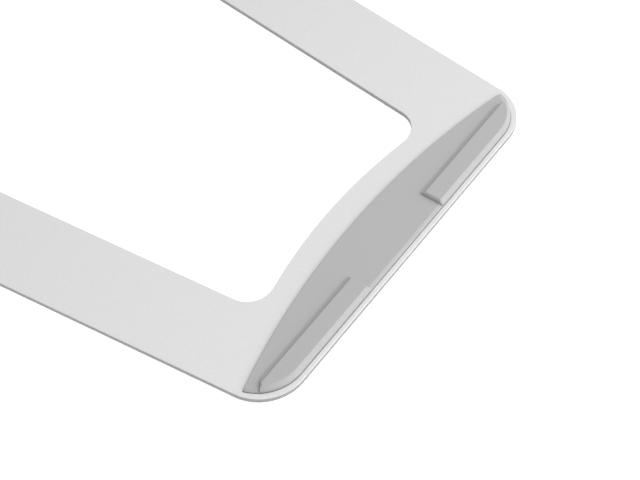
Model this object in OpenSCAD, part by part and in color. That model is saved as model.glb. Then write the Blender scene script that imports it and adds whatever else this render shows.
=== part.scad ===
// Laptop stand: one bent aluminium sheet with silicone pads, stoppers and feet.
// X runs across the stand, Y from front to back, Z up.
// The origin is on the desk, in the middle of the footprint.
// The sloping top has a frame of its own: its X is the same, its Y runs up the slope
// from the front edge, and its Z stands on the top surface.

/* [Top] */
// Width of the top at its front edge, as if its corners were sharp
front_w = 230; // [210:1:240]
// Length of the top along its slope, from the front edge to the outside of the rear bend
top_len = 266; // [255:1:280]
// Thickness of the aluminium sheet
sheet_t = 3; // [2.5:0.1:3.5]
// Slope of the top in degrees
tilt = 10; // [8:0.5:14]
// Height of the sheet's lower front edge above the desk
front_clear = 2; // [1.5:0.1:3]
// Radius of the two front corners
corner_r = 25.6; // [22:0.1:28]
// Angle by which each outer side spreads towards the back, in degrees
outer_spread = 6.6; // [5:0.1:7]

/* [Opening] */
// Width of the opening at the front edge, as if its sides ran on that far
opening_w = 136; // [126:1:140]
// Angle by which each side of the opening spreads towards the back, in degrees
inner_spread = 6.1; // [5:0.1:6.5]
// Distance from the front edge to the crown of the opening's curved front
opening_front = 50.3; // [48:0.1:54]
// Radius of the opening's curved front
opening_front_r = 300; // [280:5:400]
// Radius of the opening's two front corners
opening_corner_r = 14; // [10:1:18]

/* [Rear legs] */
// Inside radius of the bend between the top and each leg
bend_r = 10; // [6:1:12]
// Radius of each leg's lower corners
leg_corner_r = 10; // [4:1:12]

/* [Pads] */
// Thickness of the front and rear pads, with their tape
pad_t = 1.5; // [1:0.1:2]
// Distance from the sheet's outer edge to the front pad
pad_inset = 2.7; // [2:0.1:4]
// Radius of the front pad's two front corners
pad_corner_r = 25; // [23:0.1:28]
// Distance from the front edge to the crown of the front pad's curved rear edge
pad_crown = 34.8; // [32:0.1:38]
// Radius of the front pad's curved rear edge
pad_rear_r = 440; // [400:5:500]
// Height of the stoppers above the front pad
stop_h = 2.5; // [2:0.1:6]
// Distance from the front edge to the upper rear edges of the stoppers
stop_rear = 14.1; // [12:0.1:15]
// Run of the stoppers' sloping rear faces, from their upper edge back to the pad
stop_run = 2.2; // [1.5:0.1:2.5]
// Gap between the two stoppers
stop_gap = 64; // [50:1:90]
// Angle from X at which each stopper's outer end is cut across the pad's corner, in degrees
stop_end_angle = 38; // [34:1:45]
// Length of each rear pad along its arm
rear_pad_len = 44; // [30:1:50]
// Width of each rear pad
rear_pad_w = 14; // [10:1:20]
// Distance up the slope to the middle of each rear pad
rear_pad_y = 218; // [205:1:220]

/* [Feet and tape] */
// Thickness of the adhesive tape under the pads and over the front feet
tape_t = 0.2; // [0.1:0.05:0.3]
// Distance by which the tape stays inside a rear pad or a foot
tape_inset = 0.8; // [0.4:0.1:1.5]
// Distance by which the tape shows around the front pad
tape_margin = 0.3; // [0:0.1:0.6]
// Length of each front foot
front_foot_len = 44; // [30:1:50]
// Width of each front foot
front_foot_w = 12; // [10:1:16]
// Distance from the middle of the stand to the middle of each front foot
front_foot_x = 72; // [60:1:75]
// Distance up the slope to the middle of each front foot
front_foot_y = 14; // [12:1:20]
// Length of each rear foot along the leg's lower edge
rear_foot_len = 30; // [24:1:32]
// Wall thickness of each rear foot
rear_foot_wall = 1.8; // [1.2:0.1:2.5]
// Depth to which the leg is pushed into its rear foot
rear_foot_grip = 8; // [6:1:12]

/* [Hidden] */
$fn = 96;

LEFT = -1;
RIGHT = 1;
METAL = [0.84, 0.85, 0.86];
SILICONE = [0.50, 0.51, 0.52];
TAPE = [0.25, 0.25, 0.26];

// Height of the top surface's front edge above the desk
front_z = front_clear + sheet_t * cos(tilt);
// Depth of the whole stand on the desk, from the front edge to the back of the rear feet
depth = (top_len + rear_foot_wall) / cos(tilt) + front_z * tan(tilt);
// Where the flat top ends and the rear bend starts, along the slope
bend_y = top_len - bend_r - sheet_t;
// Lower end of the legs, measured from the top surface: the rear feet's floors lie below it
leg_end = desk_z(top_len) + rear_foot_wall;
// A size larger than the stand, for the solids that only cut
beyond = 400;
// Distance by which a groove's cut runs past the ends of its solid
past_end = 1;
// Segments in a full turn of the two long curves, which are far larger than the rest
long_curve_fn = 360;

// Height of the desk in the top's own frame, at distance y up the slope
function desk_z(y) = -(front_z + y * sin(tilt)) / cos(tilt);

// Outer side of the top at distance y up the slope, moved in by inset
function outer_x(y, inset = 0) = front_w / 2 + y * tan(outer_spread) - inset / cos(outer_spread);

// Side of the opening at distance y up the slope, moved towards the middle by inset
function inner_x(y, inset = 0) = opening_w / 2 + y * tan(inner_spread) - inset / cos(inner_spread);

// Middle of an arm at distance y up the slope
function arm_x(y) = (inner_x(y) + outer_x(y)) / 2;

function unit(v) = v / norm(v);

// Corner p between its neighbours a and b, rounded with radius r:
// the tangent point towards a, the arc's centre, the tangent point towards b
function rounded_corner(a, p, b, r) =
    let (
        u = unit(a - p),
        v = unit(b - p),
        half = acos(u * v) / 2
    )
    [p + u * r / tan(half), p + unit(u + v) * r / sin(half), p + v * r / tan(half)];

// Convex outline with a radius for each corner, where 0 leaves a corner sharp
module rounded_outline(points, radii) {
    count = len(points);
    corners = [
        for (i = [0 : count - 1])
            rounded_corner(points[(i + count - 1) % count], points[i], points[(i + 1) % count], radii[i])
    ];
    polygon([
        for (i = [0 : count - 1])
            each radii[i] > 0 ? [corners[i][0], corners[i][2]] : [points[i]]
    ]);
    for (i = [0 : count - 1])
        if (radii[i] > 0)
            translate(corners[i][1]) circle(r = radii[i]);
}

// Bar with round ends, lying along Y
module round_bar(length, width) {
    half = (length - width) / 2;
    square([width, 2 * half], center = true);
    for (end = [-half, half])
        translate([0, end]) circle(d = width);
}

// Puts its children on the sloping top
module on_slope() {
    translate([0, -depth / 2, front_z]) rotate([tilt, 0, 0]) children();
}

// Keeps only what is above the desk
module above_desk() {
    intersection() {
        children();
        translate([-beyond, -beyond, 0]) cube([2 * beyond, 2 * beyond, beyond]);
    }
}

// Outline of the top from its front edge back to the rear bends, moved in by inset,
// with front corners of radius r
module top_outline(inset, r) {
    front = outer_x(inset, inset);
    back = outer_x(bend_y, inset);
    rounded_outline([[-front, inset], [front, inset], [back, bend_y], [-back, bend_y]], [r, r, 0, 0]);
}

// Opening between the arms: a curved front, two rounded corners and spreading sides.
// A corner's centre lies one corner radius from the side, and on a circle around the
// centre of the curved front.
module opening_outline() {
    r = opening_corner_r;
    front_centre = opening_front - opening_front_r;
    slope = tan(inner_spread);
    x0 = inner_x(0, r);
    a = 1 + pow(slope, 2);
    b = x0 * slope - front_centre;
    c = pow(x0, 2) + pow(front_centre, 2) - pow(opening_front_r + r, 2);
    corner_y = (-b + sqrt(pow(b, 2) - a * c)) / a;
    corner = [x0 + slope * corner_y, corner_y];
    on_side = corner + r * [cos(inner_spread), -sin(inner_spread)];
    on_front = corner - r * unit(corner - [0, front_centre]);
    arm_end = [inner_x(bend_y), bend_y];
    half = [on_front, on_side, arm_end, arm_end + [0, bend_r]];
    difference() {
        polygon(concat(half, [for (i = [len(half) - 1 : -1 : 0]) [-half[i][0], half[i][1]]]));
        translate([0, front_centre]) circle(r = opening_front_r, $fn = long_curve_fn);
    }
    for (side = [LEFT, RIGHT])
        translate([side * corner[0], corner[1]]) circle(r = r);
}

// Outline of the front pad: like the top's own outline in front, a curve behind
module front_pad_outline(inset) {
    intersection() {
        top_outline(pad_inset + inset, pad_corner_r - inset);
        translate([0, pad_crown - pad_rear_r]) circle(r = pad_rear_r - inset, $fn = long_curve_fn);
    }
}

// Quarter turn of the sheet between an arm and its leg: a long turned strip, cut to the arm's width
module rear_bend(side) {
    inner = side * inner_x(bend_y);
    outer = side * outer_x(bend_y);
    reach = bend_r + sheet_t;
    intersection() {
        translate([-beyond / 2, bend_y, -reach])
            rotate([90, 0, 90])
                linear_extrude(beyond)
                    intersection() {
                        difference() {
                            circle(r = reach);
                            circle(r = bend_r);
                        }
                        square(reach);
                    }
        translate([0, 0, -reach])
            linear_extrude(reach)
                polygon([[inner, bend_y], [outer, bend_y], [outer, top_len], [inner, top_len]]);
    }
}

// Flat leg below the bend: its sides go on spreading like the arm's
module leg(side) {
    top_z = -bend_r - sheet_t;
    drop = top_z - leg_end;
    inner = inner_x(bend_y);
    outer = outer_x(bend_y);
    inner_end = inner + drop * tan(inner_spread);
    outer_end = outer + drop * tan(outer_spread);
    r = leg_corner_r;
    mirror([side == LEFT ? 1 : 0, 0, 0])
        translate([0, top_len, 0])
            rotate([90, 0, 0])
                linear_extrude(sheet_t)
                    rounded_outline(
                        [[inner, top_z], [inner_end, leg_end], [outer_end, leg_end], [outer, top_z]],
                        [0, r, r, 0]
                    );
}

// One aluminium sheet: front strip, two arms, two rear legs
module stand_frame() {
    color(METAL)
        on_slope() {
            translate([0, 0, -sheet_t])
                linear_extrude(sheet_t)
                    difference() {
                        top_outline(0, corner_r);
                        opening_outline();
                    }
            for (side = [LEFT, RIGHT]) {
                rear_bend(side);
                leg(side);
            }
        }
}

// Stopper on the front pad: the pad's outline in front, a sloping face behind, and an outer
// end cut straight towards the centre of the pad's corner. It starts at the pad's underside,
// so that the two are one solid.
module stopper(side) {
    pad_top = pad_t - tape_t;
    top = pad_top + stop_h;
    foot = stop_rear + stop_run;
    reach = pad_inset + pad_corner_r;
    mirror([side == LEFT ? 1 : 0, 0, 0])
        intersection() {
            linear_extrude(top)
                front_pad_outline(0);
            translate([stop_gap / 2, 0, 0])
                rotate([90, 0, 90])
                    linear_extrude(beyond)
                        polygon([[0, 0], [foot, 0], [foot, pad_top], [stop_rear, top], [0, top]]);
            translate([outer_x(reach, reach), reach, 0])
                rotate([0, 0, -stop_end_angle])
                    translate([-beyond, -beyond, 0])
                        cube([2 * beyond, beyond, top]);
        }
}

// Silicone pad along the front, with the two stoppers moulded on it
module front_pad() {
    color(SILICONE)
        on_slope()
            translate([0, 0, tape_t]) {
                linear_extrude(pad_t - tape_t)
                    front_pad_outline(0);
                for (side = [LEFT, RIGHT])
                    stopper(side);
            }
}

// Tape that holds the front pad and shows as a thin dark line around it
module front_pad_tape() {
    color(TAPE)
        on_slope()
            linear_extrude(tape_t)
                front_pad_outline(-tape_margin);
}

// Places its children on an arm, along the arm, at the rear pad's place
module at_rear_pad(side) {
    on_slope()
        translate([side * arm_x(rear_pad_y), rear_pad_y, 0])
            rotate([0, 0, -side * (outer_spread + inner_spread) / 2])
                children();
}

// Silicone pad near the rear end of an arm
module rear_pad(side) {
    color(SILICONE)
        at_rear_pad(side)
            translate([0, 0, tape_t])
                linear_extrude(pad_t - tape_t)
                    round_bar(rear_pad_len, rear_pad_w);
}

// Tape that holds a rear pad
module rear_pad_tape(side) {
    color(TAPE)
        at_rear_pad(side)
            linear_extrude(tape_t)
                round_bar(rear_pad_len - 2 * tape_inset, rear_pad_w - 2 * tape_inset);
}

// Places its children under the sheet, along its front edge, at a front foot's place
module at_front_foot(side) {
    on_slope()
        translate([side * front_foot_x, front_foot_y, -sheet_t])
            rotate([0, 0, 90])
                children();
}

// Silicone wedge under the front strip: flat on the desk, sloping against the sheet
module front_foot(side) {
    color(SILICONE)
        above_desk()
            at_front_foot(side)
                translate([0, 0, -tape_t - front_foot_w])
                    linear_extrude(front_foot_w)
                        round_bar(front_foot_len, front_foot_w);
}

// Tape that holds a front foot
module front_foot_tape(side) {
    color(TAPE)
        at_front_foot(side)
            translate([0, 0, -tape_t])
                linear_extrude(tape_t)
                    round_bar(front_foot_len - 2 * tape_inset, front_foot_w - 2 * tape_inset);
}

// Silicone channel pushed onto a leg's lower edge, flat on the desk
module rear_foot(side) {
    drop = -bend_r - sheet_t - leg_end;
    middle = arm_x(bend_y) + drop * (tan(inner_spread) + tan(outer_spread)) / 2;
    height = rear_foot_grip + 2 * rear_foot_wall;
    color(SILICONE)
        above_desk()
            on_slope()
                translate([side * middle - rear_foot_len / 2, top_len - sheet_t, leg_end])
                    difference() {
                        translate([0, -rear_foot_wall, rear_foot_grip - height])
                            cube([rear_foot_len, sheet_t + 2 * rear_foot_wall, height]);
                        translate([-past_end, 0, 0])
                            cube([rear_foot_len + 2 * past_end, sheet_t, height]);
                    }
}

stand_frame();
front_pad();
front_pad_tape();
rear_pad(LEFT);  // rear_pad_left
rear_pad(RIGHT);  // rear_pad_right
rear_pad_tape(LEFT);  // rear_pad_tape_left
rear_pad_tape(RIGHT);  // rear_pad_tape_right
front_foot(LEFT);  // front_foot_left
front_foot(RIGHT);  // front_foot_right
front_foot_tape(LEFT);  // front_foot_tape_left
front_foot_tape(RIGHT);  // front_foot_tape_right
rear_foot(LEFT);  // rear_foot_left
rear_foot(RIGHT);  // rear_foot_right
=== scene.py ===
from math import acos, atan2, cos, pi, radians, sin, sqrt, tan

import bmesh
import bpy
from mathutils import Matrix, Quaternion, Vector


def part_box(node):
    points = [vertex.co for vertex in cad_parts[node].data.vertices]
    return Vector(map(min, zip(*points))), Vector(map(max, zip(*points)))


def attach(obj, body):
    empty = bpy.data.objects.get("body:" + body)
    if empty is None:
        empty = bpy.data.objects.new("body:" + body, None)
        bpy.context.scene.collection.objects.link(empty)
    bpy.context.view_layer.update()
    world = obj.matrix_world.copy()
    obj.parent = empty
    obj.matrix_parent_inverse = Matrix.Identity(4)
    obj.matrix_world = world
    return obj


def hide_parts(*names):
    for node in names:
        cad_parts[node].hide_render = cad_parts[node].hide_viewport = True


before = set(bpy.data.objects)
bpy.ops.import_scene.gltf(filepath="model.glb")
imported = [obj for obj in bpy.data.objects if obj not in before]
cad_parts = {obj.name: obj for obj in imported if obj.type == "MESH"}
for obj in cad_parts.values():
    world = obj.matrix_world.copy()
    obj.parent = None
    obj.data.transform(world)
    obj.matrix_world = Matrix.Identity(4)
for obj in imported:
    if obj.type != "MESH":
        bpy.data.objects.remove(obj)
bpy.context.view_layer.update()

LEFT = -1
RIGHT = 1

# The stand's driving dimensions in metres, the same as in the CAD model.
FRONT_W = 0.230
TOP_LEN = 0.266
SHEET_T = 0.003
TILT = radians(10)
FRONT_CLEAR = 0.002
CORNER_R = 0.0256
OUTER_SPREAD = radians(6.6)
OPENING_W = 0.136
INNER_SPREAD = radians(6.1)
OPENING_FRONT = 0.0503
OPENING_FRONT_R = 0.300
OPENING_CORNER_R = 0.014
BEND_R = 0.010
LEG_CORNER_R = 0.010
PAD_T = 0.0015
PAD_INSET = 0.0027
PAD_CORNER_R = 0.025
PAD_CROWN = 0.0348
PAD_REAR_R = 0.440
STOP_H = 0.0025
STOP_REAR = 0.0141
STOP_RUN = 0.0022
STOP_GAP = 0.064
STOP_END_ANGLE = radians(38)
REAR_PAD_LEN = 0.044
REAR_PAD_W = 0.014
REAR_PAD_Y = 0.218
TAPE_T = 0.0002
FRONT_FOOT_LEN = 0.044
FRONT_FOOT_W = 0.012
FRONT_FOOT_X = 0.072
FRONT_FOOT_Y = 0.014
REAR_FOOT_LEN = 0.030
REAR_FOOT_WALL = 0.0018
REAR_FOOT_GRIP = 0.008

# Places that follow from them. The top has a frame of its own: x across the stand,
# y up the slope from the front edge, z standing on the top surface.
FRONT_Z = FRONT_CLEAR + SHEET_T * cos(TILT)
ON_SLOPE = (
    Matrix.Translation((0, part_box("stand_frame")[0].y, FRONT_Z))
    @ Matrix.Rotation(TILT, 4, "X")
)
BEND_OUT = BEND_R + SHEET_T
BEND_Y = TOP_LEN - BEND_OUT
BEND_LEN = BEND_OUT * pi / 2
LEG_END = -(FRONT_Z + TOP_LEN * sin(TILT)) / cos(TILT) + REAR_FOOT_WALL
LEG_DROP = -BEND_OUT - LEG_END

# How finely the outlines and rounded edges are drawn.
FRONT_STEPS = 40
CORNER_STEPS = 44
ARM_STEPS = 24
BEND_STEPS = 16
SMALL_CORNER_STEPS = 10
STOP_FRONT_STEPS = 40
PAD_REAR_STEPS = 48
BAR_END_STEPS = 32
EDGE_STEPS = 8
STOP_EDGE_STEPS = 12
FOOT_EDGE_STEPS = 6
BEVEL_STEPS = 4
FLOOR_STEPS = 96
# Stations along the sheet's sides: they start behind the opening's corners.
ARM_START = 0.07
SIDE_STATIONS = (
    [ARM_START + (BEND_Y - ARM_START) * i / ARM_STEPS for i in range(ARM_STEPS)]
    + [BEND_Y + BEND_LEN * i / BEND_STEPS for i in range(BEND_STEPS + 1)]
    + [BEND_Y + BEND_LEN + LEG_DROP / 2]
)

# Small breaks and rounds, finer than the CAD model's. A soft edge is given as its width and
# its height: it leaves the top face at a slant and steepens downwards, by the power EDGE_CURVE.
CHAMFER = 0.0002
LOWER_BREAK = 0.0001
PAD_FRONT_EDGE = (0.0020, 0.0012)
PAD_REAR_EDGE = (0.0003, 0.0003)
PAD_FOOT_TUCK = 0.0001
PAD_TIP_ROUND = 0.0003
STOP_FRONT_EDGE = (0.0020, 0.0026)
STOP_REAR_EDGE = (0.0003, 0.0003)
STOP_END_EDGE = (0.0010, 0.0014)
STOP_PLAN_ROUND = 0.0008
# The stoppers' rear faces flatten out towards the pad: by how much at the pad's top, and from
# which part of their height, counted downwards. Below their foot they go straight into the pad.
STOP_FLARE = 0.0013
STOP_FLARE_FROM = 0.4
STOP_FOOT = 1.04
SOFT_EDGE = (0.0006, 0.0006)
EDGE_CURVE = 1.6

# Edges sharper than these angles are drawn as creases: the second is for fused pieces.
CREASE = radians(28)
MOULDED_CREASE = radians(50)
# A length below this counts as none.
TINY = 0.000001
# The frame's material slots: its blasted faces have the first one, 0.
CHAMFER_SLOT = 1
SHADED_CUT_SLOT = 2


# ---- Outlines, as points on a plane, counter-clockwise ----

def outer_x(y, inset=0.0):
    """Outer side of the top at distance y up the slope, moved in by inset."""
    return FRONT_W / 2 + y * tan(OUTER_SPREAD) - inset / cos(OUTER_SPREAD)


def inner_x(y, inset=0.0):
    """Side of the opening at distance y up the slope, moved towards the middle by inset."""
    return OPENING_W / 2 + y * tan(INNER_SPREAD) - inset / cos(INNER_SPREAD)


def arm_x(y):
    """Middle of an arm at distance y up the slope."""
    return (inner_x(y) + outer_x(y)) / 2


def desk_z(y):
    """Height of the desk in the top's frame, at distance y up the slope."""
    return -(FRONT_Z + y * sin(TILT)) / cos(TILT)


def corner_centre(reach):
    """Centre of a front corner's arc, at distance reach from the front edge and the outer side."""
    return (outer_x(reach, reach), reach)


def angle_of(centre, point):
    """Direction from a centre to a point, as an angle from the x axis."""
    return atan2(point[1] - centre[1], point[0] - centre[0])


def arc(centre, radius, start, end, steps):
    """Points on an arc from angle start to angle end, both included."""
    angles = [start + (end - start) * i / steps for i in range(steps + 1)]
    return [(centre[0] + radius * cos(a), centre[1] + radius * sin(a)) for a in angles]


def rounded_corner(before, corner, after, radius):
    """A corner as an arc, given with the point before it and the point after it."""
    corner = Vector(corner)
    back = (Vector(before) - corner).normalized()
    onward = (Vector(after) - corner).normalized()
    half = acos(back.dot(onward)) / 2
    centre = corner + (back + onward).normalized() * radius / sin(half)
    start = angle_of(centre, corner + back * radius / tan(half))
    turn = angle_of(centre, corner + onward * radius / tan(half)) - start
    turn = (turn + pi) % (2 * pi) - pi
    return arc(centre, radius, start, start + turn, SMALL_CORNER_STEPS)


def circles_cross(c1, r1, c2, r2):
    """Where two circles cross, on the right-hand side."""
    c1, c2 = Vector(c1), Vector(c2)
    gap = (c2 - c1).length
    unit = (c2 - c1) / gap
    along = (gap**2 + r1**2 - r2**2) / (2 * gap)
    aside = Vector((-unit.y, unit.x)) * sqrt(r1**2 - along**2)
    foot = c1 + unit * along
    return max(foot + aside, foot - aside, key=lambda point: point.x)


def both_halves(right):
    """Closed outline from its right half, which runs from the front middle to the back middle."""
    return right + [(-x, y) for x, y in reversed(right) if x > TINY]


def opening_corner():
    """Centre of the arc in the opening's right front corner. The arc touches the side and the
    curved front, so the centre's y solves a * y**2 + 2 * b * y + c = 0."""
    r = OPENING_CORNER_R
    front_centre = OPENING_FRONT - OPENING_FRONT_R
    slope = tan(INNER_SPREAD)
    x0 = inner_x(0, r)
    a = 1 + slope**2
    b = x0 * slope - front_centre
    c = x0**2 + front_centre**2 - (OPENING_FRONT_R + r) ** 2
    y = (-b + sqrt(b**2 - a * c)) / a
    return (x0 + slope * y, y)


def flat_side(side_x, y, inset):
    """A side line of the flat sheet: straight round the bend, and spreading again down the leg."""
    leg = max(0.0, y - BEND_Y - BEND_LEN)
    return (side_x(min(y, BEND_Y) + leg, inset), y)


def sheet_outline(inset):
    """The whole sheet laid flat: y runs on round the bend and down the leg. Each point of the
    outer side has a partner on the inner side, so that faces can span the sheet."""
    leg_end = BEND_Y + BEND_LEN + LEG_DROP - inset
    outer_side = [flat_side(outer_x, y, inset) for y in SIDE_STATIONS]
    inner_side = [flat_side(inner_x, y, -inset) for y in reversed(SIDE_STATIONS)]
    outer_end = flat_side(outer_x, leg_end, inset)
    inner_end = flat_side(inner_x, leg_end, -inset)
    outer_corner = corner_centre(CORNER_R)
    corner = opening_corner()
    front_centre = (0, OPENING_FRONT - OPENING_FRONT_R)
    front_line = [(outer_corner[0] * i / FRONT_STEPS, inset) for i in range(FRONT_STEPS)]
    corner_arc = arc(outer_corner, CORNER_R - inset, -pi / 2, -OUTER_SPREAD, CORNER_STEPS)
    side_end = angle_of(corner, front_centre)
    fillet = arc(corner, OPENING_CORNER_R + inset, -INNER_SPREAD, side_end, CORNER_STEPS)
    front_start = angle_of(front_centre, corner)
    front_arc = arc(front_centre, OPENING_FRONT_R - inset, front_start, pi / 2, FRONT_STEPS)[1:]
    return both_halves(
        front_line
        + corner_arc
        + outer_side
        + rounded_corner(outer_side[-1], outer_end, inner_end, LEG_CORNER_R - inset)
        + rounded_corner(outer_end, inner_end, inner_side[0], LEG_CORNER_R - inset)
        + inner_side
        + fillet
        + front_arc
    )


def front_pad_outline(front_inset, rear_inset):
    """Front pad: round corners in front, a long curve behind, a small round at each tip."""
    centre = corner_centre(PAD_INSET + PAD_CORNER_R)
    front_r = PAD_CORNER_R - front_inset
    rear_r = PAD_REAR_R - rear_inset
    rear_centre = (0, PAD_CROWN - PAD_REAR_R)
    tip = circles_cross(centre, front_r - PAD_TIP_ROUND, rear_centre, rear_r - PAD_TIP_ROUND)
    tip_start = angle_of(centre, tip)
    tip_end = angle_of(rear_centre, tip)
    front_y = PAD_INSET + front_inset
    return both_halves(
        [(centre[0] * i / FRONT_STEPS, front_y) for i in range(FRONT_STEPS)]
        + arc(centre, front_r, -pi / 2, tip_start, CORNER_STEPS)
        + arc(tip, PAD_TIP_ROUND, tip_start, tip_end, SMALL_CORNER_STEPS)[1:]
        + arc(rear_centre, rear_r, tip_end, pi / 2, PAD_REAR_STEPS)[1:]
    )


def stopper_outline(front_inset, rear_inset, end_inset):
    """Right-hand stopper: the pad's outline in front, a straight rear side, a straight inner end,
    and an outer end cut straight towards the centre of the corner's arc."""
    centre = Vector(corner_centre(PAD_INSET + PAD_CORNER_R))
    front_r = PAD_CORNER_R - front_inset
    front_y = PAD_INSET + front_inset
    inner_end = STOP_GAP / 2 + end_inset
    rear_y = STOP_REAR - rear_inset
    cut = Vector((cos(STOP_END_ANGLE), -sin(STOP_END_ANGLE)))
    cut_start = centre + Vector((cut.y, -cut.x)) * end_inset
    outer_front = cut_start + cut * sqrt(front_r**2 - end_inset**2)
    outer_rear = cut_start + cut * (rear_y - cut_start.y) / cut.y
    inner_rear = (inner_end, rear_y)
    inner_front = (inner_end, front_y)
    return (
        arc(centre, front_r, -pi / 2, angle_of(centre, outer_front), STOP_FRONT_STEPS)
        + rounded_corner(outer_front, outer_rear, inner_rear, STOP_PLAN_ROUND)
        + rounded_corner(outer_rear, inner_rear, inner_front, STOP_PLAN_ROUND)
        + rounded_corner(inner_rear, inner_front, (centre.x, front_y), STOP_PLAN_ROUND)
    )


def round_bar(length, width, inset=0.0):
    """Bar with round ends, lying along y."""
    radius = width / 2 - inset
    end = (length - width) / 2
    rear_end = arc((0, end), radius, 0, pi, BAR_END_STEPS)
    front_end = arc((0, -end), radius, pi, 2 * pi, BAR_END_STEPS)
    return rear_end + front_end


# ---- Meshes ----

def drawn_in(below_top, edge):
    """How far a soft edge has drawn in, at a depth below the top face."""
    width, height = edge
    return width * max(0.0, 1 - below_top / height) ** EDGE_CURVE


def edge_levels(bottom, top, edges, steps=EDGE_STEPS):
    """Heights from bottom to top, closer together where soft top edges need them."""
    curve = {top - height * i / steps for _, height in edges for i in range(steps + 1)}
    return [bottom] + sorted(z for z in curve if z > bottom + TINY)


def loft(rings, end_faces=None):
    """Closed bmesh through rings of points. An end is one face, unless end_faces lists its faces
    as indices of points on the ring."""
    bm = bmesh.new()
    rows = [[bm.verts.new(point) for point in ring] for ring in rings]
    count = len(rings[0])
    for below, above in zip(rows, rows[1:]):
        for i in range(count):
            j = (i + 1) % count
            bm.faces.new((below[i], below[j], above[j], above[i]))
    for face in end_faces or [range(count)]:
        bm.faces.new([rows[0][i] for i in reversed(face)])
        bm.faces.new([rows[-1][i] for i in face])
    return bm


def spanning_faces(count):
    """Faces across an outline made by both_halves, from each point to its partner."""
    half = (count + 2) // 2
    return [
        [i % count, (i + 1) % count, (half - 2 - i) % count, (half - 1 - i) % count]
        for i in range(1 - half // 2, half // 2 - 1)
    ]


def at_height(outline, z):
    """An outline's points, put at a height."""
    return [(x, y, z) for x, y in outline]


def make_piece(name, bm, matrix=ON_SLOPE):
    """Object from a bmesh, put in place, with smooth faces and sharp creases."""
    bm.transform(matrix)
    bmesh.ops.recalc_face_normals(bm, faces=bm.faces)
    for face in bm.faces:
        face.smooth = True
    mesh = bpy.data.meshes.new(name)
    bm.to_mesh(mesh)
    bm.free()
    mesh.set_sharp_from_angle(angle=CREASE)
    piece = bpy.data.objects.new(name, mesh)
    bpy.context.scene.collection.objects.link(piece)
    return piece


def joined(piece, others):
    """Piece fused with the others into one closed mesh."""
    for other in others:
        union = piece.modifiers.new("union", "BOOLEAN")
        union.operation = "UNION"
        union.solver = "EXACT"
        union.object = other
    depsgraph = bpy.context.evaluated_depsgraph_get()
    mesh = bpy.data.meshes.new_from_object(piece.evaluated_get(depsgraph))
    piece.modifiers.clear()
    piece.data = mesh
    mesh.name = piece.name
    for other in others:
        bpy.data.objects.remove(other)
    mesh.set_sharp_from_angle(angle=MOULDED_CREASE)
    flat = piece.modifiers.new("flat_faces_stay_flat", "WEIGHTED_NORMAL")
    flat.keep_sharp = True
    return piece


def bent(point):
    """Takes a point of the flat sheet round the rear bend: z is its depth into the sheet."""
    x, y, z = point
    if y <= BEND_Y:
        return Vector((x, y, z))
    turn = min(1.0, (y - BEND_Y) / BEND_LEN) * pi / 2
    down = max(0.0, y - BEND_Y - BEND_LEN)
    reach = BEND_OUT + z
    return Vector((x, BEND_Y + reach * sin(turn), reach * cos(turn) - BEND_OUT - down))


def make_frame():
    """The aluminium sheet, with a polished chamfer round its upper edge."""
    rings = [
        at_height(sheet_outline(LOWER_BREAK), -SHEET_T),
        at_height(sheet_outline(0), LOWER_BREAK - SHEET_T),
        at_height(sheet_outline(0), -CHAMFER),
        at_height(sheet_outline(CHAMFER), 0),
    ]
    bm = loft(rings, spanning_faces(len(rings[0])))
    for face in bm.faces:
        middle = face.calc_center_median().z
        if -CHAMFER < middle < -TINY:
            face.material_index = CHAMFER_SLOT
        # The cut faces take the material painted darker: painted shade for the sheet's sides.
        elif -SHEET_T + TINY < middle < -TINY:
            face.material_index = SHADED_CUT_SLOT
    for vert in bm.verts:
        vert.co = bent(vert.co)
    return make_piece("bent_sheet", bm)


def make_front_pad():
    """The front pad and both stoppers, moulded in one."""
    tucked = at_height(front_pad_outline(PAD_FOOT_TUCK, PAD_FOOT_TUCK), TAPE_T)
    edges = [PAD_FRONT_EDGE, PAD_REAR_EDGE]
    rings = [
        at_height(front_pad_outline(*[drawn_in(PAD_T - z, edge) for edge in edges]), z)
        for z in edge_levels(TAPE_T + PAD_FOOT_TUCK, PAD_T, edges)
    ]
    pad = make_piece("front_pad_and_stoppers", loft([tucked] + rings))
    stoppers = [make_stopper(side) for side in (LEFT, RIGHT)]
    return joined(pad, stoppers)


def rear_run(below_top):
    """How far a stopper's rear face has run back, at a depth below its top."""
    depth = min(STOP_FOOT, below_top / STOP_H)
    flare = max(0.0, (depth - STOP_FLARE_FROM) / (1 - STOP_FLARE_FROM))
    return STOP_RUN * depth + STOP_FLARE * flare**2


def make_stopper(side):
    """One stopper, standing in the pad."""
    top = PAD_T + STOP_H
    edges = [STOP_FRONT_EDGE, STOP_REAR_EDGE, STOP_END_EDGE]
    rings = []
    for z in edge_levels(TAPE_T + PAD_FOOT_TUCK, top, edges, STOP_EDGE_STEPS):
        front_inset, rear_inset, end_inset = [drawn_in(top - z, edge) for edge in edges]
        outline = stopper_outline(front_inset, rear_inset - rear_run(top - z), end_inset)
        rings.append(at_height(outline, z))
    to_side = Matrix.Diagonal((side, 1, 1, 1))
    return make_piece("stopper", loft(rings), ON_SLOPE @ to_side)


def make_rear_pad(side, word):
    """Silicone bar on an arm, with a rounded top edge."""
    place = (
        Matrix.Translation((side * arm_x(REAR_PAD_Y), REAR_PAD_Y, 0))
        @ Matrix.Rotation(-side * (OUTER_SPREAD + INNER_SPREAD) / 2, 4, "Z")
    )
    tucked = at_height(round_bar(REAR_PAD_LEN, REAR_PAD_W, PAD_FOOT_TUCK), TAPE_T)
    rings = [
        at_height(round_bar(REAR_PAD_LEN, REAR_PAD_W, drawn_in(PAD_T - z, SOFT_EDGE)), z)
        for z in edge_levels(TAPE_T + PAD_FOOT_TUCK, PAD_T, [SOFT_EDGE])
    ]
    return make_piece(f"soft_rear_pad_{word}", loft([tucked] + rings), ON_SLOPE @ place)


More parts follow.
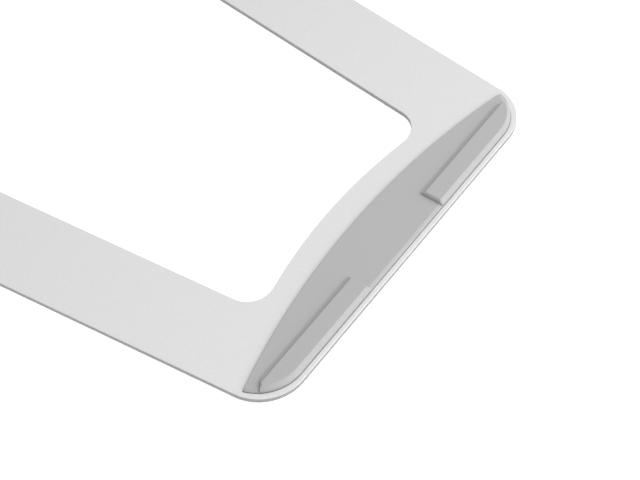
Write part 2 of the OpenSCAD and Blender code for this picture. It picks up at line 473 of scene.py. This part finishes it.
def make_front_foot(side, word):
    """Silicone wedge under the front strip: its lower face lies on the desk."""
    width, height = SOFT_EDGE

    def outline(inset):
        bar = round_bar(FRONT_FOOT_LEN, FRONT_FOOT_W, inset)
        return [(side * FRONT_FOOT_X + y, FRONT_FOOT_Y - x) for x, y in bar]

    rings = []
    for i in range(FOOT_EDGE_STEPS + 1):
        turn = pi / 2 * i / FOOT_EDGE_STEPS
        lift = height * (1 - cos(turn))
        rings.append([(x, y, desk_z(y) + lift) for x, y in outline(width * (1 - sin(turn)))])
    rings.append(at_height(outline(0), -SHEET_T - TAPE_T))
    return make_piece(f"soft_front_foot_{word}", loft(rings))


def make_rear_foot(side, word):
    """Silicone channel pushed onto a leg's lower edge."""
    middle = side * (arm_x(BEND_Y) + LEG_DROP * (tan(INNER_SPREAD) + tan(OUTER_SPREAD)) / 2)
    groove_front = TOP_LEN - SHEET_T
    front = groove_front - REAR_FOOT_WALL
    back = TOP_LEN + REAR_FOOT_WALL
    rim = LEG_END + REAR_FOOT_GRIP
    profile = [
        (front, desk_z(front)),
        (back, desk_z(back)),
        (back, rim),
        (TOP_LEN, rim),
        (TOP_LEN, LEG_END),
        (groove_front, LEG_END),
        (groove_front, rim),
        (front, rim),
    ]
    ends = [middle - REAR_FOOT_LEN / 2, middle + REAR_FOOT_LEN / 2]
    rings = [[(x, y, z) for y, z in profile] for x in ends]
    piece = make_piece(f"soft_rear_foot_{word}", loft(rings))
    bevel = piece.modifiers.new("soft_edges", "BEVEL")
    bevel.width = SOFT_EDGE[0]
    bevel.segments = BEVEL_STEPS
    bevel.limit_method = "ANGLE"
    bevel.harden_normals = True
    return piece


# ---- Materials ----

# The noise values over which a material's grey or roughness goes from its low to its high.
NOISE_LOW = 0.3
NOISE_HIGH = 0.7
# How metallic the anodised sheet looks on all its faces.
METALLIC = 0.3
WHITE = (1, 1, 1, 1)


def shader_socket(material, name):
    """An input of the material's shader."""
    return material.node_tree.nodes["Principled BSDF"].inputs[name]


def new_material(name, **settings):
    """Material whose shader has some constant inputs, set by name."""
    material = bpy.data.materials.new(name)
    material.use_nodes = True
    for setting, value in settings.items():
        shader_socket(material, setting.replace("_", " ")).default_value = value
    return material


def noise(material, size, detail=2.0):
    """Noise on the object's own coordinates: size is the grain's size in metres."""
    nodes = material.node_tree.nodes
    coords = nodes.new("ShaderNodeTexCoord")
    texture = nodes.new("ShaderNodeTexNoise")
    texture.inputs["Scale"].default_value = 1 / size
    texture.inputs["Detail"].default_value = detail
    material.node_tree.links.new(coords.outputs["Object"], texture.inputs["Vector"])
    return texture.outputs["Fac"]


def colour(material, value, low, high):
    """Colours the material with a grey between low and high that follows the noise value."""
    ramp = material.node_tree.nodes.new("ShaderNodeValToRGB")
    for stop, position, grey in zip(ramp.color_ramp.elements, (NOISE_LOW, NOISE_HIGH), (low, high)):
        stop.position = position
        stop.color = (grey, grey, grey, 1)
    material.node_tree.links.new(value, ramp.inputs["Fac"])
    material.node_tree.links.new(ramp.outputs["Color"], shader_socket(material, "Base Color"))


def roughness(material, value, low, high):
    """Gives the material a roughness between low and high that follows the noise value."""
    mapper = material.node_tree.nodes.new("ShaderNodeMapRange")
    mapper.inputs["From Min"].default_value = NOISE_LOW
    mapper.inputs["From Max"].default_value = NOISE_HIGH
    mapper.inputs["To Min"].default_value = low
    mapper.inputs["To Max"].default_value = high
    material.node_tree.links.new(value, mapper.inputs["Value"])
    material.node_tree.links.new(mapper.outputs["Result"], shader_socket(material, "Roughness"))


def bump(material, value, depth):
    """Bump of a given depth in metres that follows the noise value."""
    node = material.node_tree.nodes.new("ShaderNodeBump")
    node.inputs["Distance"].default_value = depth
    material.node_tree.links.new(value, node.inputs["Height"])
    material.node_tree.links.new(node.outputs["Normal"], shader_socket(material, "Normal"))


def anodised_aluminium():
    """Fine bead-blasted, clear anodised surface."""
    material = new_material("anodised_aluminium", Metallic=METALLIC)
    colour(material, noise(material, size=0.0007), low=0.68, high=0.73)
    roughness(material, noise(material, size=0.0012), low=0.50, high=0.60)
    bump(material, noise(material, size=0.0004, detail=3), depth=0.000012)
    return material


def chamfered_aluminium():
    """Narrow chamfer: a little smoother than the blasted faces."""
    material = new_material("chamfered_aluminium", Metallic=METALLIC)
    colour(material, noise(material, size=0.003), low=0.66, high=0.69)
    roughness(material, noise(material, size=0.0006), low=0.40, high=0.48)
    return material


def cut_aluminium_painted_shade():
    """Cut edge of the sheet: duller than its faces, and painted darker as painted shade for the
    dimly lit sides.
    """
    material = new_material("cut_aluminium_painted_shade", Metallic=METALLIC)
    colour(material, noise(material, size=0.002), low=0.295, high=0.335)
    roughness(material, noise(material, size=0.0006), low=0.55, high=0.65)
    return material


def grey_silicone():
    """Matte moulded silicone with a very fine texture."""
    material = new_material("grey_silicone", IOR=1.41, Sheen_Weight=0.08, Sheen_Roughness=0.6)
    colour(material, noise(material, size=0.0012, detail=3), low=0.396, high=0.408)
    roughness(material, noise(material, size=0.0015), low=0.58, high=0.66)
    bump(material, noise(material, size=0.0005, detail=3), depth=0.000015)
    return material


def tape_film_painted_shade():
    """Double-sided tape in dark grey: painted shade, standing for the shadow line at the pads'
    feet.
    """
    material = new_material("tape_film_painted_shade", Roughness=0.6)
    colour(material, noise(material, size=0.002), low=0.17, high=0.19)
    return material


def pale_floor():
    """Nearly white floor that gives off a little light, so that it comes out white all over."""
    material = new_material(
        "pale_floor", Roughness=0.9, Emission_Color=WHITE, Emission_Strength=0.45
    )
    colour(material, noise(material, size=0.4), low=0.94, high=0.95)
    return material


def finish_with(piece, slot, nodes, *materials):
    """Puts a new piece on the frame in place of CAD nodes, with its materials."""
    for material in materials:
        piece.data.materials.append(material)
    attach(piece, "root")
    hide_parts(*nodes)


# ---- Scene ----

FLOOR_RADIUS = 6
SKY_STRENGTH = 0.5
LIGHT_AIM = (0, -0.05, 0)
KEY_PLACE = (0.75, -1.53, 1.14)
KEY_SIZE = 2.2
KEY_WATTS = 43
OVERHEAD_PLACE = (0.2, 0.1, 1.4)
OVERHEAD_SIZE = 1.2
OVERHEAD_WATTS = 2.5
# The camera's place and aim are in the top's frame.
CAMERA_PLACE = (-0.37739, -0.27026, 0.63451)
CAMERA_AIM = (-0.02059, 0.04286, 0.00017)
CAMERA_ROLL = radians(16.82)
CAMERA_LENS = 86.92
SENSOR_W = 36


def facing(place, aim):
    """Rotation of a light or camera at a place, so that it looks at its aim."""
    return (Vector(aim) - Vector(place)).to_track_quat("-Z", "Y")


def add_floor():
    """Round floor on which the stand rests."""
    bm = bmesh.new()
    bmesh.ops.create_circle(bm, cap_ends=True, radius=FLOOR_RADIUS, segments=FLOOR_STEPS)
    floor = make_piece("floor", bm, Matrix.Identity(4))
    floor.data.materials.append(pale_floor())


def add_softbox(name, place, size, watts):
    """Square area light at a place, facing the stand."""
    data = bpy.data.lights.new(name, "AREA")
    data.size = size
    data.energy = watts
    light = bpy.data.objects.new(name, data)
    light.location = place
    light.rotation_euler = facing(place, LIGHT_AIM).to_euler()
    bpy.context.scene.collection.objects.link(light)


def add_world(strength):
    """White sky, the same from all sides."""
    world = bpy.data.worlds.new("studio")
    world.use_nodes = True
    background = world.node_tree.nodes["Background"]
    background.inputs["Color"].default_value = WHITE
    background.inputs["Strength"].default_value = strength
    bpy.context.scene.world = world


def add_camera(place, aim, roll):
    """Camera at a place, facing a point, turned clockwise by roll."""
    data = bpy.data.cameras.new("camera")
    data.lens = CAMERA_LENS
    data.sensor_width = SENSOR_W
    camera = bpy.data.objects.new("camera", data)
    camera.location = place
    camera.rotation_mode = "QUATERNION"
    camera.rotation_quaternion = facing(place, aim) @ Quaternion((0, 0, 1), -roll)
    bpy.context.scene.collection.objects.link(camera)
    bpy.context.scene.camera = camera


aluminium = anodised_aluminium()
silicone = grey_silicone()
tape = tape_film_painted_shade()

sheet_materials = (aluminium, chamfered_aluminium(), cut_aluminium_painted_shade())
finish_with(make_frame(), "aluminium", ["stand_frame"], *sheet_materials)
finish_with(make_front_pad(), "silicone", ["front_pad"], silicone)
for side, word in ((LEFT, "left"), (RIGHT, "right")):
    finish_with(make_rear_pad(side, word), "silicone", [f"rear_pad_{word}"], silicone)
    finish_with(make_front_foot(side, word), "silicone", [f"front_foot_{word}"], silicone)
    finish_with(make_rear_foot(side, word), "silicone", [f"rear_foot_{word}"], silicone)
# The tapes are painted dark: painted shade for the shadow line where the pads meet the sheet.
for name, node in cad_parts.items():
    if "tape" in name:
        node.data.materials.clear()
        node.data.materials.append(tape)

add_floor()
add_world(SKY_STRENGTH)
add_softbox("key", KEY_PLACE, KEY_SIZE, KEY_WATTS)
add_softbox("overhead", OVERHEAD_PLACE, OVERHEAD_SIZE, OVERHEAD_WATTS)
add_camera(ON_SLOPE @ Vector(CAMERA_PLACE), ON_SLOPE @ Vector(CAMERA_AIM), CAMERA_ROLL)
bpy.context.scene.view_settings.view_transform = "Standard"
